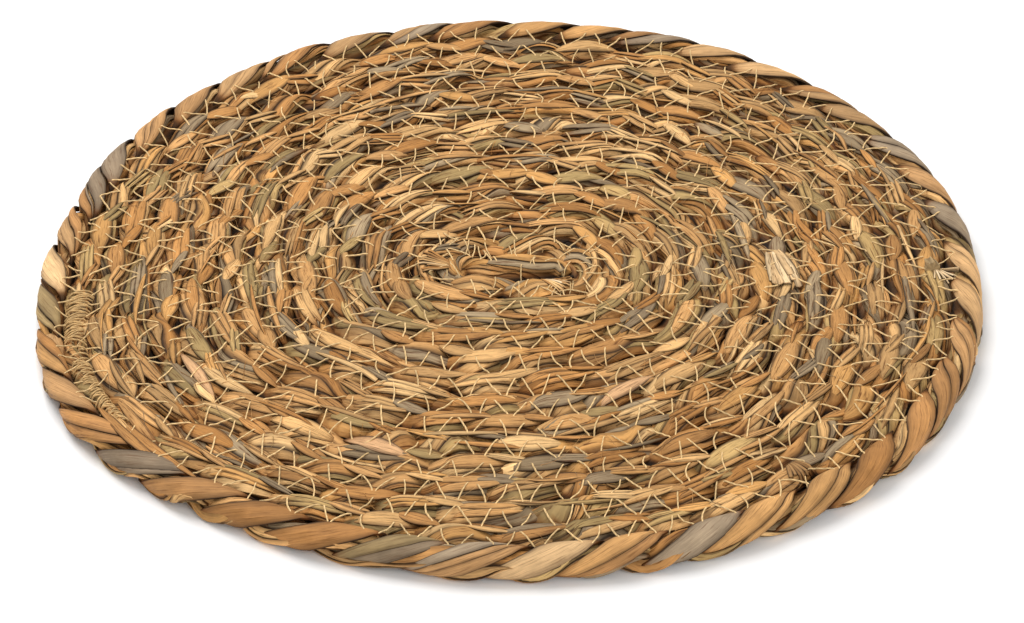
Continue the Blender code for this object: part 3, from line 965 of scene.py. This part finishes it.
def straw_material(name, streak_contrast, bump_height):
    """Dried grass: streaked along each leaf and mottled; the paler streaks are partly its own colour
    and partly painted glints, with painted shade at leaf edges and down in the gaps.
    """
    material, tree, shader = new_material(name)
    shader.inputs["Specular IOR Level"].default_value = 0.20
    along_leaf = node(tree, "ShaderNodeUVMap", uv_map="Strand").outputs["UV"]
    coarse = noise(tree, stretched(tree, along_leaf, (60.0, 1300.0, 1.0)), 1.0, 3.0, 0.6)
    fine = noise(tree, stretched(tree, along_leaf, (150.0, 2800.0, 1.0)), 1.0, 2.0, 0.6)
    in_space = node(tree, "ShaderNodeTexCoord").outputs["Object"]
    blotch = noise(tree, in_space, 70.0, 4.0, 0.65)

    mix = node(tree, "ShaderNodeMix", data_type="FLOAT")
    mix.inputs[0].default_value = 0.45
    tree.links.new(coarse, mix.inputs[2])
    tree.links.new(fine, mix.inputs[3])
    streaks = mix.outputs[0]
    # paler streaks along the grain, partly the grass's own colour and partly painted glints along
    # the fibres; the blotches are its own mottling
    streak_glint_and_mottle = node(tree, "ShaderNodeMath", operation="MULTIPLY")
    tree.links.new(ranged(tree, streaks, 0.50, 0.64, 1.0, 1.26), streak_glint_and_mottle.inputs[0])
    tree.links.new(ranged(tree, blotch, 0.3, 0.7, 0.80, 1.12), streak_glint_and_mottle.inputs[1])
    colour = scaled(tree, attribute(tree, "tint", "Color"), streak_glint_and_mottle.outputs[0])
    colour = darker(tree, colour, streaks, 0.47, 0.38, streak_contrast, linear(92, 50, 12))
    # painted shade at the leaf edges
    colour = darker(tree, colour, attribute(tree, "crease"), 0.0, 0.9, 0.95, linear(36, 19, 5))
    # painted shade down among the rows: first towards a warm brown, then towards near black
    painted_shade = attribute(tree, "painted_shade")
    colour = darker(tree, colour, painted_shade, 0.0, 0.55, 0.75, linear(116, 64, 10))
    colour = darker(tree, colour, painted_shade, 0.35, 0.90, 0.97, linear(24, 11, 1))
    tree.links.new(colour, shader.inputs["Base Color"])
    tree.links.new(ranged(tree, coarse, 0.0, 1.0, 0.52, 0.82), shader.inputs["Roughness"])
    set_bump(tree, shader, streaks, 0.7, bump_height)
    return material


def thread_material():
    """Twisted cotton: slanting bands for its plies."""
    material, tree, shader = new_material("cotton_thread")
    shader.inputs["Roughness"].default_value = 0.8
    along_thread = node(tree, "ShaderNodeUVMap", uv_map="Strand").outputs["UV"]
    wave = node(tree, "ShaderNodeTexWave", wave_type="BANDS", bands_direction="DIAGONAL",
                Scale=260.0, Distortion=0.4)
    tree.links.new(along_thread, wave.inputs["Vector"])
    plies = wave.outputs["Fac"]
    colour = scaled(tree, attribute(tree, "tint", "Color"),
                    ranged(tree, plies, 0.0, 1.0, 0.72, 1.05))
    tree.links.new(colour, shader.inputs["Base Color"])
    set_bump(tree, shader, plies, 0.5, 0.0002)
    return material


# ---------------------------------------------------------------- floor, lights, camera

def make_floor():
    mesh = bpy.data.meshes.new("floor")
    mesh.from_pydata([(-4, -4, 0), (4, -4, 0), (4, 4, 0), (-4, 4, 0)], [], [(0, 1, 2, 3)])
    material, _, shader = new_material("white_floor")
    shader.inputs["Base Color"].default_value = (0.94, 0.945, 0.95, 1)
    shader.inputs["Roughness"].default_value = 0.9
    shader.inputs["Specular IOR Level"].default_value = 0.1
    mesh.materials.append(material)
    floor = bpy.data.objects.new("floor", mesh)
    bpy.context.scene.collection.objects.link(floor)


def area_light(name, place, size, power, target=(0, 0, 0)):
    data = bpy.data.lights.new(name, "AREA")
    data.shape, data.size, data.energy = "DISK", size, power
    lamp = bpy.data.objects.new(name, data)
    lamp.location = place
    lamp.rotation_euler = (Vector(target) - Vector(place)).to_track_quat("-Z", "Y").to_euler()
    bpy.context.scene.collection.objects.link(lamp)


def make_lights():
    world = bpy.data.worlds.new("studio")
    world.use_nodes = True
    background = world.node_tree.nodes["Background"]
    background.inputs["Color"].default_value = (1.0, 0.985, 0.96, 1)
    background.inputs["Strength"].default_value = 0.62
    bpy.context.scene.world = world
    area_light("key", (-0.45, 0.40, 1.15), 1.2, 15.0)
    area_light("fill", (0.5, -1.1, 0.8), 0.9, 5.0)
    bpy.context.scene.view_settings.view_transform = "Standard"


def make_camera():
    data = bpy.data.cameras.new("camera")
    data.lens, data.sensor_width = 124.4, 36.0
    camera = bpy.data.objects.new("camera", data)
    camera.location = (0.0009, -1.158, 0.841)
    aim = Vector((0.0009, -0.018, 0.0)) - Vector(camera.location)
    camera.rotation_euler = aim.to_track_quat("-Z", "Y").to_euler()
    bpy.context.scene.collection.objects.link(camera)
    bpy.context.scene.camera = camera


make_camera()
make_floor()
make_lights()
straw = straw_material("dry_grass", 0.90, 0.0009)
smooth_straw = straw_material("smooth_dry_grass", 0.50, 0.0006)
cotton = thread_material()
coil_stations = coil_line()[0]
coil_beat = 2 * math.pi * coil_stations / PLAIT_REPEAT + 0.45 * Wander(0.17)(coil_stations)
surface = Surface()
surface.add(*make_coil(straw), *make_rim(straw))
surface.add(make_coil_leaves(straw, surface), make_rim_leaves(smooth_straw))
surface.add(make_loose_leaves(straw, surface), make_joint_wrap(straw))
make_frayed_ends(straw, surface)
make_stitches(cotton, surface)
make_whipping(cotton)
